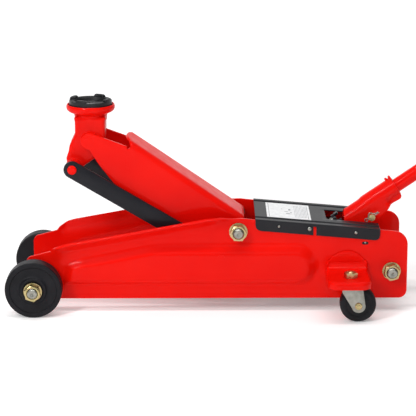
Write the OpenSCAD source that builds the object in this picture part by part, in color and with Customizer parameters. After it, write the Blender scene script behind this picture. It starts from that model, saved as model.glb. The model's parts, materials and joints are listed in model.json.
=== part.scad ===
/* Low hydraulic trolley jack: pressed side plates, parallel-link lift arm, hydraulic unit,
   two front rollers, two rear casters and a plug-in pump handle.
   X runs back from the front axle, Z is up from the floor, and the left side is -Y. */

/* [Side plates] */
// Length of each side plate
plate_l = 560; // [550:1:570]
// Sheet thickness of the side plates
plate_t = 4; // [3.5:0.5:4.5]
// Distance from the middle of the jack to the outer face of a side plate
plate_y = 61; // [60:0.5:62]
// Height of the plates' lower edge above the floor
plate_low = 19.7; // [18:0.1:22]
// How far the pressed panel stands out of the plate
bulge_out = 8; // [6:0.5:8]
// Width of the flared lip along the top edge
flare_w = 20; // [16:1:21]
// Angle of the flared lip above the horizontal
flare_angle = 25; // [15:1:35]

/* [Lift arm] */
// Height of the lift arm's shaft above the floor
pivot_z = 121.4; // [120:0.1:123]
// Distance from the front axle back to the lift arm's shaft
pivot_x = 299.3; // [298:0.1:301]
// Length from the shaft to the saddle pin
arm_l = 252.7; // [251:0.1:254]
// Angle of the arm above the horizontal as it stands
arm_angle = 30.85; // [29:0.05:32]
// Width over the arm's two cheeks
arm_w = 72; // [70:0.5:73]
// Sheet thickness of the arm
arm_t = 4; // [3.5:0.5:4]

/* [Front wheels] */
// Radius of a front wheel, which sets the axle's height
wheel_r = 41.7; // [40:0.1:43]
// Width of the tread
wheel_w = 24; // [22:0.5:24]
// Distance from the middle of the jack to the middle of a front wheel
wheel_y = 81.6; // [81:0.1:83]

/* [Casters] */
// Radius of a caster wheel
caster_r = 26.4; // [25:0.1:27]
// Width of a caster wheel
caster_w = 22; // [20:0.5:23]
// Distance from the front axle back to the swivels
caster_x = 461; // [460:0.5:462]
// Distance from the middle of the jack to a swivel
caster_y = 107; // [106:0.5:108]
// Distance that the wheel trails behind its swivel
caster_trail = 11; // [10:0.5:12]

/* [Pump handle] */
// Angle of the handle above the horizontal at its lower stop
handle_angle = 34.6; // [33:0.1:36]
// Distance from the socket pivot's foot to the end of the grip
handle_l = 1065; // [900:5:1150]
// Outer radius of the handle tubes
tube_r = 10.2; // [10:0.1:10.4]
// Length of the rubber grip
grip_l = 125; // [100:5:140]

/* [Hidden] */
$fn = 64;

eps = 0.05;                       // overlap that joins the shapes of one solid
run = 0.05;                       // radial running clearance of a shaft in its bore
loose = 0.1;                      // radial clearance of a fixed shaft in its hole
gap = 0.4;                        // side clearance between bodies that turn against each other

// Origin: the middle of the jack's length and width, on the floor
foot_offset = 12.5;               // from the socket pivot up to the handle's axis
grip_r = 13.5;
socket_pivot = [497.2, 133.8];
foot = [socket_pivot[0] - foot_offset * sin(handle_angle), socket_pivot[1] + foot_offset * cos(handle_angle)];
handle_end_x = foot[0] + handle_l * cos(handle_angle) + grip_r * sin(handle_angle);
mid_x = (handle_end_x - wheel_r) / 2;

// Side plate landmarks, measured from the front axle
plate_front = -12.3;
plate_rear = plate_front + plate_l;
plate_in = plate_y - plate_t;
front_top = [-2, 84.6];
lip_start = [21, 91];
crest_front = [293, 140.6];
crest_rear = [316, 139.5];
rear_top_z = 121;
lip_slope = atan2(crest_front[1] - lip_start[1], crest_front[0] - lip_start[0]);
cover_slope = (rear_top_z - crest_rear[1]) / (530 - crest_rear[0]);

// Shafts and hardware
axle_r = 7.25;
shaft_r = 7.5;
nut_af = 21.8;
axle_end = 112;
shaft_end = 77;
washer_t = 2;
nut_h = 11;
cross_bolt = [524.7, 61.2];

// Lift linkage
arm_in = arm_w / 2 - arm_t;
link_drop = [-25.1, -38.9];       // from each arm pin to the matching link pin
link_w = 25;
link_t = 5;
link_y = 46;
pin_r = 6;
crank_l = 45;
crank_angle = 6;                  // crank's lean towards the front as the arm stands
crank_r = 7;
saddle_pin = [pivot_x - arm_l * cos(arm_angle), pivot_z + arm_l * sin(arm_angle)];
frame_link = [pivot_x, pivot_z] + link_drop;
saddle_link = saddle_pin + link_drop;
crank_pin = [pivot_x - crank_l * sin(crank_angle), pivot_z - crank_l * cos(crank_angle)];

// Saddle, measured from the floor at the saddle pin
cup_x = saddle_pin[0] + 0.5;
cup_z = saddle_pin[1];
stem_r = 10;

// Hydraulic unit
ram_z = 80.7;
ram_r = 12;
cylinder_r = 20;
cylinder_front = 356;
block_front = 410;
block_bore_end = 426.5;           // where the ram cylinder's seat ends in the block
plunger_front = 432;
spring_y = 26;
spring_r = 4.4;

// Handle socket: local s runs up the handle, t stands square to it
socket_r = 15.5;
socket_t = 2.8;
socket_end = 54.5;
set_screw_s = 50;
socket_pin_r = 5;
roller_drop = 42;
roller_r = 8;
plunger_z = 93;
plunger_r = 6;
roller = [socket_pivot[0], socket_pivot[1] - roller_drop];

// A point given along the arm (u) and square to it (w)
function arm_pt(u, w) = [pivot_x - u * cos(arm_angle) + w * sin(arm_angle),
    pivot_z + u * sin(arm_angle) + w * cos(arm_angle)];
// A point given along the handle (s) and square to it (t)
function socket_pt(s, t) = [foot[0] + s * cos(handle_angle) - t * sin(handle_angle),
    foot[1] + s * sin(handle_angle) + t * cos(handle_angle)];
// Points of an arc about c, from angle a0 to a1
function arc(c, r, a0, a1, n = 8) =
    [for (i = [0 : n]) [c[0] + r * cos(a0 + (a1 - a0) * i / n), c[1] + r * sin(a0 + (a1 - a0) * i / n)]];

module place() translate([-mid_x, 0, 0]) children();
module both_sides() { children(); mirror([0, 1, 0]) children(); }
// Extrudes an outline drawn in X and Z from y0 to y1
module slab(y0, y1) translate([0, y1, 0]) rotate([90, 0, 0]) linear_extrude(y1 - y0) children();
// Round bar along Y through the point c = [x, z]
module bar_y(c, r, y0, y1) translate([c[0], y0, c[1]]) rotate([-90, 0, 0]) cylinder(h = y1 - y0, r = r);
// Hexagon along Y
module hex_y(c, af, y0, y1) translate([c[0], y0, c[1]]) rotate([-90, 0, 0])
    cylinder(h = y1 - y0, r = af / sqrt(3), $fn = 6);
// Tube along Y
module tube_y(c, r_out, r_in, y0, y1) difference() {
    bar_y(c, r_out, y0, y1);
    bar_y(c, r_in, y0 - 1, y1 + 1);
}
module socket_frame() translate([foot[0], 0, foot[1]]) rotate([0, -handle_angle, 0]) children();
// Round bar along the handle's axis, from s0 to s1
module bar_s(r, s0, s1, t = 0) translate([s0, 0, t]) rotate([0, 90, 0]) cylinder(h = s1 - s0, r = r);

module plate_outline() polygon(concat(
    [[plate_front, plate_low + 3], [plate_front + 3, plate_low]],
    arc([plate_rear - 12, plate_low + 12], 12, -90, 0),
    arc([plate_rear - 18, rear_top_z - 19], 18, 0, 88),
    [[530, rear_top_z], crest_rear, [304, 141], crest_front, lip_start],
    arc(front_top + [0, -9], 9, 100, 175, 5)));

module bulge_outline(inset) polygon([
    [43 + inset, 41 + inset], [44 + inset, 73 - inset], [63, 80 - inset], [167, 105 - inset],
    [397, 105 - inset], [416 - inset, 77], [413 - inset, 58], [390, 41 + inset]]);

// Pressed panel: a shallow frustum that starts on the plane y
module bulge_solid(y, inset, rise) hull() {
    slab(y - eps, y) bulge_outline(inset);
    slab(y + rise - eps, y + rise) bulge_outline(inset + rise);
}

module flare() translate([lip_start[0], plate_in, lip_start[1] - plate_t])
    rotate([0, -lip_slope, 0]) rotate([flare_angle, 0, 0])
    linear_extrude(plate_t) polygon([[5, 0], [8, plate_t], [13, flare_w * 0.75], [22, flare_w],
        [40, flare_w + plate_t], [190, flare_w + plate_t], [272, plate_t], [272, 0]]);

module side_plate() difference() {
    union() {
        slab(plate_in, plate_y) plate_outline();
        bulge_solid(plate_y, 0, bulge_out);
        flare();
    }
    bulge_solid(plate_in - 1, 1.5, bulge_out + 1);
    bar_y([0, wheel_r], axle_r + loose, plate_in - 1, plate_y + 1);
    bar_y([pivot_x, pivot_z], shaft_r + loose, plate_in - 1, plate_y + 1);
    bar_y(frame_link, pin_r + loose, plate_in - 1, plate_y + bulge_out + 1);
    bar_y(cross_bolt, shaft_r + loose, plate_in - 1, plate_y + 1);
    bar_y([485.3, 103.5], 3.5, plate_in - 1, plate_y + 1);
}
module side_plate_left() place() color("red") mirror([0, 1, 0]) side_plate();
module side_plate_right() place() color("red") side_plate();

module front_axle() place() color("silver") bar_y([0, wheel_r], axle_r, -axle_end, axle_end);

wheel_face = wheel_y + wheel_w / 2;
hub_face = wheel_face + 3;
module front_axle_washers() place() color("gold") both_sides()
    tube_y([0, wheel_r], 13.5, axle_r + loose, hub_face + gap, hub_face + gap + washer_t);
module front_axle_nuts() place() color("gold") both_sides() difference() {
    hex_y([0, wheel_r], nut_af, hub_face + gap + washer_t, hub_face + gap + washer_t + nut_h);
    bar_y([0, wheel_r], axle_r + loose, hub_face, axle_end + 1);
}
module front_wheel_spacers() place() color("silver") both_sides()
    tube_y([0, wheel_r], 11, axle_r + loose, plate_y, wheel_y - wheel_w / 2 - gap);

// Nylon roller with rounded tread edges and a raised ring round the nut
module front_wheel() translate([0, 0, wheel_r]) rotate([-90, 0, 0]) rotate_extrude()
    polygon(concat(
        [[axle_r + run, wheel_y - wheel_w / 2]],
        arc([wheel_r - 4, wheel_y - wheel_w / 2 + 4], 4, -90, 0, 6),
        arc([wheel_r - 4, wheel_face - 4], 4, 0, 90, 6),
        [[20, wheel_face], [18, hub_face], [axle_r + run, hub_face]]));
module front_wheel_left() place() color("dimgray") mirror([0, 1, 0]) front_wheel();
module front_wheel_right() place() color("dimgray") front_wheel();

// Cheek: round nose at the saddle pin, notched top edge, deep belly and a lobe for the crank pin
module arm_cheek_outline() polygon([for (p = concat(
    [[196.6, 31.2], [198.1, 22.5]],
    arc([arm_l, 0], 12, 80, -120, 14),
    [[224.8, -22.2], [188.8, -36.5], [60, -54]],
    arc([-18.9, -40.9], 14, -85, -190, 8),
    arc([0, 0], 18, 178, 92, 8))) arm_pt(p[0], p[1])]);
module lift_arm() place() color("red") difference() {
    union() {
        both_sides() slab(arm_in, arm_w / 2) arm_cheek_outline();
        slab(-arm_in - eps, arm_in + eps)
            polygon([arm_pt(2, 18.1), arm_pt(196.6, 31.2), arm_pt(196.9, 27.2), arm_pt(2, 14.1)]);
        bar_y([pivot_x, pivot_z], 13, -arm_in - eps, arm_in + eps);
    }
    bar_y([pivot_x, pivot_z], shaft_r + run, -arm_w, arm_w);
    bar_y(saddle_pin, pin_r + loose, -arm_w, arm_w);
    bar_y(crank_pin, crank_r + loose, -arm_w, arm_w);
}

module lift_arm_shaft() place() color("silver")
    bar_y([pivot_x, pivot_z], shaft_r, -shaft_end, shaft_end);

// Washer and nut at each end of a cross shaft
module shaft_fixings(c) both_sides() difference() {
    union() {
        bar_y(c, 13.5, plate_y, plate_y + washer_t);
        hex_y(c, nut_af, plate_y + washer_t - eps, plate_y + washer_t + nut_h);
    }
    bar_y(c, shaft_r + loose, plate_in, shaft_end + 1);
}
module lift_arm_shaft_nuts() place() color("gold") shaft_fixings([pivot_x, pivot_z]);
module lift_arm_spacers() place() color("dimgray") both_sides()
    tube_y([pivot_x, pivot_z], 12, shaft_r + loose, arm_w / 2 + gap, plate_in);
module arm_crank_pin() place() color("silver") bar_y(crank_pin, crank_r, -arm_w / 2 - 1, arm_w / 2 + 1);

module link_bar() slab(link_y, link_y + link_t) difference() {
    polygon([for (p = concat(arc([0, 0], link_w / 2, -90, -270, 16), arc([arm_l, 0], link_w / 2, 90, -90, 16)))
        arm_pt(p[0], p[1]) + link_drop]);
    translate(frame_link) circle(r = pin_r + run);
    translate(saddle_link) circle(r = pin_r + loose);
}
module link_bar_left() place() color([0.15, 0.15, 0.17]) mirror([0, 1, 0]) link_bar();
module link_bar_right() place() color([0.15, 0.15, 0.17]) link_bar();

// Riveted stubs on which the link bars turn
module link_pivot_pins() place() color("red") both_sides() {
    bar_y(frame_link, pin_r, link_y - 2.4, plate_y + bulge_out + 0.4);
    bar_y(frame_link, 9, link_y - 2.4, link_y - gap);
    bar_y(frame_link, 10, link_y + link_t + gap, plate_y + bulge_out - plate_t - 0.2);
}

bracket_y = arm_in - 0.6;         // half width over the bosses at the two pins
column_y = 24;                    // half width of the cast column
module saddle_bracket() place() color("red") difference() {
    union() {
        slab(-column_y, column_y) {
            polygon([[saddle_link[0] - 10, saddle_link[1] - 4], [saddle_link[0] + 8, saddle_link[1] - 8],
                [saddle_pin[0] + 3, saddle_pin[1] - 31], [cup_x + 21.5, cup_z + 1], [cup_x + 22, cup_z + 27],
                [cup_x + 26, cup_z + 33.5], [cup_x - 26, cup_z + 33.5], [cup_x - 22.5, cup_z + 27],
                [cup_x - 22.5, cup_z + 8], [cup_x - 31, cup_z - 9.5], [cup_x - 32.5, cup_z - 18],
                saddle_link + [-10, 10]]);
            translate(saddle_link) circle(r = 11);
        }
        both_sides() bar_y(saddle_pin, 12, column_y - 1, bracket_y);
        both_sides() bar_y(saddle_link, 10.5, column_y - 1, bracket_y);
        translate([cup_x, 0, 0]) rotate_extrude() polygon([[0, cup_z + 30], [26, cup_z + 32],
            [30, cup_z + 35], [34, cup_z + 41], [36, cup_z + 46], [36, cup_z + 50], [33, cup_z + 50],
            [33, cup_z + 45.3], [0, cup_z + 45.3]]);
    }
    translate([cup_x, 0, cup_z + 20]) cylinder(r = stem_r + run, h = 40);
    bar_y(saddle_pin, pin_r + run, -bracket_y - 1, bracket_y + 1);
    bar_y(saddle_link, pin_r + loose, -bracket_y - 1, bracket_y + 1);
}
module saddle_arm_pin() place() color("red") bar_y(saddle_pin, pin_r, -arm_w / 2 - 0.8, arm_w / 2 + 0.8);
module saddle_link_pin() place() color("red") {
    bar_y(saddle_link, pin_r, -link_y - link_t - gap - eps, link_y + link_t + gap + eps);
    both_sides() bar_y(saddle_link, 6.8, link_y + link_t + gap, link_y + link_t + gap + 2.6);
    both_sides() bar_y(saddle_link, 9, bracket_y, link_y - gap - 1.2);
}

saddle_r = 31.5;
saddle_floor = cup_z + 45.7;
module saddle() place() color([0.2, 0.2, 0.22]) translate([cup_x, 0, 0]) {
    rotate_extrude() polygon([[0, cup_z + 22], [stem_r, cup_z + 22], [stem_r, saddle_floor],
        [saddle_r, saddle_floor], [saddle_r, cup_z + 55.5], [25, cup_z + 55.5], [23.5, cup_z + 51],
        [0, cup_z + 51]]);
    for (a = [48 : 90 : 318]) rotate([0, 0, a]) rotate_extrude(angle = 34)
        translate([25.3, cup_z + 55]) square([saddle_r - 25.6, 4]);
}

module rear_cross_bolt() place() color("silver") bar_y(cross_bolt, shaft_r, -shaft_end, shaft_end);
module rear_cross_bolt_nuts() place() color("gold") shaft_fixings(cross_bolt);

// Cover over the hydraulic unit, bent down over the outside of both side plates
cover_front = 324.4;
cover_rear = 506.8;
cover_t = 1.5;
function cover_top(x) = crest_rear[1] + (x - crest_rear[0]) * cover_slope + cover_t + 0.1;
module cover_plate() place() color([0.25, 0.25, 0.27]) difference() {
    union() {
        slab(-plate_y - 0.2 - eps, plate_y + 0.2 + eps)
            polygon([[cover_front, cover_top(cover_front) - cover_t], [cover_front, cover_top(cover_front)],
                [cover_rear, cover_top(cover_rear)], [cover_rear, cover_top(cover_rear) - cover_t]]);
        both_sides() slab(plate_y + 0.2, plate_y + 0.2 + cover_t) difference() {
            polygon(concat([[cover_front, cover_top(cover_front)]],
                arc([cover_front + 8, cover_top(cover_front) - 9], 8, 180, 270, 5),
                arc([cover_rear - 8, cover_top(cover_rear) - 9], 8, 270, 360, 5),
                [[cover_rear, cover_top(cover_rear)]]));
            translate([409, 100]) square([4.5, 26]);
        }
    }
    translate([430, -27, 90]) cube([100, 54, 80]);
    for (x = [358.7, 403.6, 471.4]) both_sides() bar_y([x, cover_top(x) - 8], 2.1, plate_y - 1, plate_y + 4);
}
module cover_label() place() color("white") slab(-42, 42)
    polygon([for (p = [[342, 0.02], [407, 0.02], [407, 0.5], [342, 0.5]]) [p[0], cover_top(p[0]) + p[1]]]);
module cover_screws() place() color("silver") both_sides() for (x = [358.7, 403.6, 471.4])
    bar_y([x, cover_top(x) - 8], 3, plate_y + 0.2 + cover_t, plate_y + 3.2);

// Cast body of the hydraulic unit
module pump_block() place() color([0.35, 0.35, 0.38]) difference() {
    union() {
        slab(-44, 44) polygon([[block_front, 48], [block_front, 106], [block_front + 10, 116],
            [446, 116], [450, 108], [450, 40], [block_front + 8, 40]]);
        slab(-18, 18) polygon([[449, 44], [449, 82], [478, 82], [508, 74], [514, 61.2], [508, 46]]);
        slab(-12, 12) {
            polygon([[449, 81], [449, 102], [472, 102], socket_pivot + [-8, 5], socket_pivot + [8, -5],
                [480, 95], [478, 81]]);
            translate(socket_pivot) circle(r = 9);
        }
        bar_y(cross_bolt, 14, -18, 18);
        valve_frame() translate([0, 0, -12]) cylinder(r = 9, h = 13);
        slab(-18, 18) polygon([[500, 74], [524, 75], [524, 47], [500, 47]]);
    }
    // Room for the roller and the drive yoke between the two ears
    translate([455, -7, 102.2]) cube([60, 14, 60]);
    translate([400, 0, ram_z]) rotate([0, 90, 0]) cylinder(r = cylinder_r + loose, h = block_bore_end - 400);
    translate([plunger_front - 1, 0, plunger_z]) rotate([0, 90, 0]) cylinder(r = plunger_r + run, h = 60);
    bar_y(cross_bolt, shaft_r + loose, -20, 20);
    bar_y(socket_pivot, socket_pin_r + loose, -20, 20);
    valve_frame() translate([0, 0, -16]) cylinder(r = 5 + run, h = 40);
    translate([420, 24, 108]) cylinder(r = 5.1, h = 20);
    translate([424, -26, 108]) cylinder(r = 5.1, h = 20);
    both_sides() bar_y([446, 103.5], 1.9, 40, 50);
}
module block_locating_pins() place() color("silver") both_sides() {
    bar_y([485.3, 103.5], 2.5, 44.2, plate_y - 1);
    slab(44.2, 47) polygon([[443, 101], [443, 106], [486, 106], [486, 101]]);
}
module ram_cylinder() place() color([0.35, 0.35, 0.38]) translate([cylinder_front, 0, ram_z])
    rotate([0, 90, 0]) difference() {
        cylinder(r = cylinder_r, h = block_bore_end - 0.2 - cylinder_front);
        translate([0, 0, -1]) cylinder(r = ram_r + run, h = 100);
    }
module gland_nut() place() color("silver") translate([cylinder_front - 9, 0, ram_z]) rotate([0, 90, 0])
    difference() {
        cylinder(r = cylinder_r, h = 9);
        translate([0, 0, -1]) cylinder(r = ram_r + run, h = 11);
    }

crosshead_x = crank_pin[0] - 0.2;
module ram_rod() place() color("lightgray") translate([crosshead_x + 16, 0, ram_z]) rotate([0, 90, 0])
    cylinder(r = ram_r, h = 82);
// Block with an upright slot, in which the arm's crank pin slides
module ram_crosshead() place() color("silver") {
    slab(-20, 20) translate([crosshead_x, ram_z]) difference() {
        translate([-16, -20]) square([32, 39]);
        translate([-8.4, -12.5]) square([16.8, 26.5]);
    }
    both_sides() translate([crosshead_x + 10, 20 - eps, ram_z - 5]) cube([6, 10.5, 10]);
}
module return_spring(side) place() color("gray")
    translate([crosshead_x + 16.3, side * spring_y, ram_z]) rotate([0, 90, 0])
    cylinder(r = spring_r, h = block_front - 0.3 - crosshead_x - 16.3);
module return_spring_left() return_spring(-1);
module return_spring_right() return_spring(1);

// Oil filler plug and relief valve cap stand on the block's upper face
module filler_plug() place() color("dimgray") translate([420, 24, 108.2]) {
    cylinder(r = 5, h = 9);
    translate([0, 0, 9 - eps]) cylinder(r = 8, h = 4, $fn = 6);
}
module relief_valve_cap() place() color("gold") translate([424, -26, 108.2]) {
    cylinder(r = 5, h = 9);
    translate([0, 0, 9 - eps]) cylinder(r = 7.5, h = 3, $fn = 6);
}

// Release valve: its axis leans with the handle and leaves the top of the block
module valve_frame() translate([436, 0, 118]) rotate([0, 90 - handle_angle, 0]) children();
module release_spindle() place() color("silver") valve_frame() translate([0, 0, -14]) cylinder(r = 5, h = 22);
module release_yoke() place() color([0.25, 0.25, 0.27]) valve_frame() translate([0, 0, 8]) {
    cylinder(r = 8, h = 5);
    for (a = [0, 180]) rotate([0, 0, a]) translate([4.5, -4, 5 - eps]) cube([3.5, 8, 6]);
}

// Pump plunger, pressed by the roller below the socket's pivot
plunger_cap_t = 3;
plunger_end = roller[0] - roller_r - plunger_cap_t - gap;
module pump_plunger() place() color("lightgray") translate([plunger_front, 0, plunger_z])
    rotate([0, 90, 0]) cylinder(r = plunger_r, h = plunger_end - plunger_front);
module plunger_cap() place() color("silver") translate([plunger_end, 0, plunger_z])
    rotate([0, 90, 0]) cylinder(r = 8, h = plunger_cap_t);

// Pressed socket: a half tube over the handle with a fork below, on both sides of the pivot
module socket_cheek() slab(socket_r - socket_t - 0.1, socket_r - 0.05) {
    polygon([socket_pt(-27, 5), socket_pt(-38, 5), socket_pt(-38, -10), socket_pt(-36, -44),
        roller + [-8, -8], roller + [10, -5], socket_pivot + [12, -18], socket_pt(8, -22),
        socket_pt(24, -19.4), socket_pt(33, -15.5), socket_pt(53, -16.5), socket_pt(54, 3)]);
    translate(roller) circle(r = 11);
}
module handle_socket() place() color("red") difference() {
    union() {
        socket_frame() bar_s(socket_r, -28, socket_end);
        both_sides() socket_cheek();
    }
    socket_frame() {
        bar_s(socket_r - socket_t, -40, 12);
        translate([-60, socket_t - socket_r, -70]) cube([76, 2 * (socket_r - socket_t), 70]);
        bar_s(tube_r + run, 10, 60);
        translate([set_screw_s, 0, 8]) cylinder(r = 3 + loose, h = 12);
    }
    bar_y(socket_pivot, socket_pin_r + run, -30, 30);
    bar_y(roller, 4 + loose, -30, 30);
}
// The split pin passes through the left end of the pivot pin
clip_r = 1.1;
module socket_clip(r, s0, s1) translate([socket_pivot[0], -28, socket_pivot[1]]) rotate([0, -handle_angle, 0])
    bar_s(r, s0, s1);
module socket_pivot_pin() place() color("gold") difference() {
    union() {
        bar_y(socket_pivot, socket_pin_r, -31, socket_r + gap + eps);
        bar_y(socket_pivot, 8, socket_r + gap, socket_r + gap + 3);
    }
    socket_clip(clip_r + loose, -9, 9);
}
module socket_split_pins() place() color("silver") socket_clip(clip_r, -10, 12);
module pump_roller() place() color("silver") tube_y(roller, roller_r, 4 + run, -6.5, 6.5);
module roller_pin() place() color("silver") bar_y(roller, 4, -socket_r - 1.5, socket_r + 1.5);
module handle_set_screw() place() color("red") socket_frame() translate([set_screw_s, 0, 0]) difference() {
    union() {
        translate([0, 0, tube_r + 0.35]) cylinder(r = 3, h = 6);
        translate([0, 0, socket_r + 0.1]) cylinder(r = 5, h = 4.5);
    }
    translate([-1.2, -8, socket_r + 2]) cube([2.4, 16, 4]);
}

// Handle: two tubes that plug together, with a drive yoke for the release valve below
module handle_drive_yoke() place() color([0.25, 0.25, 0.27]) socket_frame() {
    bar_s(4.5, -16, 13.8);
    translate([-24, -5, -2.5]) cube([9, 10, 5]);
}
tube_split = 540;
module handle_lower_tube() place() color("red") socket_frame() difference() {
    union() {
        bar_s(tube_r, 14, tube_split);
        bar_s(tube_r - 1.7, tube_split - eps, tube_split + 60);
    }
    bar_s(tube_r - 3.2, 20, tube_split + 61);
    translate([tube_split + 28, 0, 0]) cylinder(r = 3.6, h = 12);
}
module handle_upper_tube() place() color("red") socket_frame() difference() {
    bar_s(tube_r, tube_split + 0.2, handle_l - 6);
    bar_s(tube_r - 1.6, tube_split - 1, handle_l);
    translate([tube_split + 28, 0, 0]) cylinder(r = 3.6, h = 12);
}
module handle_lock_button() place() color("silver") socket_frame()
    translate([tube_split + 28, 0, 4]) cylinder(r = 3.5, h = 8);
module handle_grip() place() color([0.15, 0.15, 0.16]) socket_frame() difference() {
    bar_s(grip_r, handle_l - grip_l, handle_l);
    bar_s(tube_r + 0.1, handle_l - grip_l - 1, handle_l - 5);
}

// Shelf of a caster bracket with its turned-down lip, and the arched sheet on the side plate
shelf_z = 65;
shelf_t = 3;
shelf_out = 136;
bracket_x = [428, 490];
module caster_bracket() difference() {
    union() {
        translate([bracket_x[0], plate_y, shelf_z - shelf_t])
            cube([bracket_x[1] - bracket_x[0], shelf_out - plate_y, shelf_t]);
        translate([bracket_x[0], shelf_out - 2.5, 54])
            cube([bracket_x[1] - bracket_x[0], 2.5, shelf_z - 54]);
        for (x = [bracket_x[0], bracket_x[1] - 2.5]) translate([x, plate_y, 54])
            cube([2.5, shelf_out - plate_y, shelf_z - 54]);
        slab(plate_y, plate_y + 3) {
            translate([bracket_x[0], 54]) square([bracket_x[1] - bracket_x[0], 20]);
            translate([459, 62]) intersection() {
                circle(r = 31);
                translate([-31, 0]) square([62, 31]);
            }
        }
        // Webs that carry the shelf
        for (x = [bracket_x[0], bracket_x[1] - 2.5]) translate([x, 0, 0]) rotate([90, 0, 90])
            linear_extrude(2.5) polygon([[plate_y, shelf_z - 1], [plate_y + 22, shelf_z - 1], [plate_y, shelf_z + 12]]);
    }
    translate([caster_x, caster_y, 50]) cylinder(r = 5 + loose, h = 20);
}
module caster_bracket_left() place() color("red") mirror([0, 1, 0]) caster_bracket();
module caster_bracket_right() place() color("red") caster_bracket();

crown_z = 54.6;
crown_t = 3;
module caster_swivel_bolts() place() color("gold") both_sides() translate([caster_x, caster_y, 0]) {
    translate([0, 0, crown_z + crown_t + 0.3]) cylinder(r = 5, h = 74.2 - crown_z - crown_t);
    translate([0, 0, shelf_z]) cylinder(r = 17 / sqrt(3), h = 8, $fn = 6);
}
module caster_bearings() place() color("silver") both_sides() translate([caster_x, caster_y, crown_z + crown_t + 0.3])
    difference() {
        cylinder(r = 15, h = shelf_z - shelf_t - crown_z - crown_t - 0.3);
        translate([0, 0, -1]) cylinder(r = 5 + loose, h = 20);
    }

caster_axle = [caster_x + caster_trail, caster_r];
fork_in = 14;
fork_t = 2.8;
module caster_fork() difference() {
    union() {
        translate([caster_x, caster_y, crown_z]) cylinder(r = 18, h = crown_t);
        slab(caster_y - fork_in - 1, caster_y + fork_in + 1)
            translate([caster_x - 13, crown_z]) square([29, crown_t]);
        for (side = [-1, 1]) slab(caster_y + side * (fork_in + fork_t / 2) - fork_t / 2,
            caster_y + side * (fork_in + fork_t / 2) + fork_t / 2) {
            polygon([[caster_x - 13, crown_z + crown_t], [caster_x + 16, crown_z + crown_t],
                [caster_x + 18.5, 44], caster_axle + [9.2, 3], caster_axle + [-9.2, -3], [caster_x - 12.5, 46]]);
            translate(caster_axle) circle(r = 10);
        }
    }
    bar_y(caster_axle, 4 + loose, caster_y - 30, caster_y + 30);
}
module caster_fork_left() place() color("silver") mirror([0, 1, 0]) caster_fork();
module caster_fork_right() place() color("silver") caster_fork();

module caster_wheel() translate([caster_axle[0], caster_y, caster_axle[1]]) rotate([-90, 0, 0])
    rotate_extrude() polygon(concat(
        [[4 + run, -fork_in + 0.5], [9, -fork_in + 0.5], [10, -caster_w / 2]],
        arc([caster_r - 4, -caster_w / 2 + 4], 4, -90, 0, 6),
        arc([caster_r - 4, caster_w / 2 - 4], 4, 0, 90, 6),
        [[10, caster_w / 2], [9, fork_in - 0.5], [4 + run, fork_in - 0.5]]));
module caster_wheel_left() place() color("dimgray") mirror([0, 1, 0]) caster_wheel();
module caster_wheel_right() place() color("dimgray") caster_wheel();

module caster_rivet() {
    bar_y(caster_axle, 4, caster_y - fork_in - fork_t - 2, caster_y + fork_in + fork_t + 2);
    for (y = [-fork_in - fork_t - 2.2, fork_in + fork_t + 0.2]) bar_y(caster_axle, 5.5, caster_y + y, caster_y + y + 2);
}
module caster_rivet_left() place() color("gold") mirror([0, 1, 0]) caster_rivet();
module caster_rivet_right() place() color("gold") caster_rivet();

side_plate_left();
side_plate_right();
front_axle();
front_axle_washers();
front_axle_nuts();
front_wheel_spacers();
front_wheel_left();
front_wheel_right();
lift_arm();
lift_arm_shaft();
lift_arm_shaft_nuts();
lift_arm_spacers();
arm_crank_pin();
link_bar_left();
link_bar_right();
link_pivot_pins();
saddle_bracket();
saddle_arm_pin();
saddle_link_pin();
saddle();
rear_cross_bolt();
rear_cross_bolt_nuts();
cover_plate();
cover_label();
cover_screws();
pump_block();
block_locating_pins();
ram_cylinder();
gland_nut();
ram_rod();
ram_crosshead();
return_spring_left();
return_spring_right();
filler_plug();
relief_valve_cap();
release_spindle();
release_yoke();
pump_plunger();
plunger_cap();
handle_socket();
socket_pivot_pin();
socket_split_pins();
pump_roller();
roller_pin();
handle_set_screw();
handle_drive_yoke();
handle_lower_tube();
handle_upper_tube();
handle_lock_button();
handle_grip();
caster_bracket_left();
caster_bracket_right();
caster_swivel_bolts();
caster_bearings();
caster_fork_left();
caster_fork_right();
caster_wheel_left();
caster_wheel_right();
caster_rivet_left();
caster_rivet_right();
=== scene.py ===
import json
import math

import bmesh
import bpy
from mathutils import Matrix, Vector


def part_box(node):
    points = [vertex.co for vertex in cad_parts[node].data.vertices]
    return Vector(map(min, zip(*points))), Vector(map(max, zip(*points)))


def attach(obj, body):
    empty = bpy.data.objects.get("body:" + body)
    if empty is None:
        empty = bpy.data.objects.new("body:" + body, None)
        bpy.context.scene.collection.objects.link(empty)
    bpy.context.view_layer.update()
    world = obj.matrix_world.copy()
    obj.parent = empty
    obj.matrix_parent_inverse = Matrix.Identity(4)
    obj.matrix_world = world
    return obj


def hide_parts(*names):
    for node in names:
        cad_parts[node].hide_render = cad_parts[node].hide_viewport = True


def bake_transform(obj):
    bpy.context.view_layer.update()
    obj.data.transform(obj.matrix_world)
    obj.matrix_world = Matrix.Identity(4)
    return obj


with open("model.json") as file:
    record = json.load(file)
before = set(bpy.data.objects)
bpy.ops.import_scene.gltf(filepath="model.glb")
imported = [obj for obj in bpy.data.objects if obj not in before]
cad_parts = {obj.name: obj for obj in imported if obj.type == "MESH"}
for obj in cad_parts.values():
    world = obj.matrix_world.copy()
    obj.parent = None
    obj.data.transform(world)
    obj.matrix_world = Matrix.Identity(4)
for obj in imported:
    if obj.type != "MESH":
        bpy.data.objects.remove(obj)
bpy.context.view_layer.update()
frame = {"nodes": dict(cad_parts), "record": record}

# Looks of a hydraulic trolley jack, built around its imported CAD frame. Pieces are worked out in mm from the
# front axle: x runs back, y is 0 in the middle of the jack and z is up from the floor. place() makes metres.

MM = 0.001


def middle(node):
    low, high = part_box(node)
    return (low + high) / 2


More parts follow.
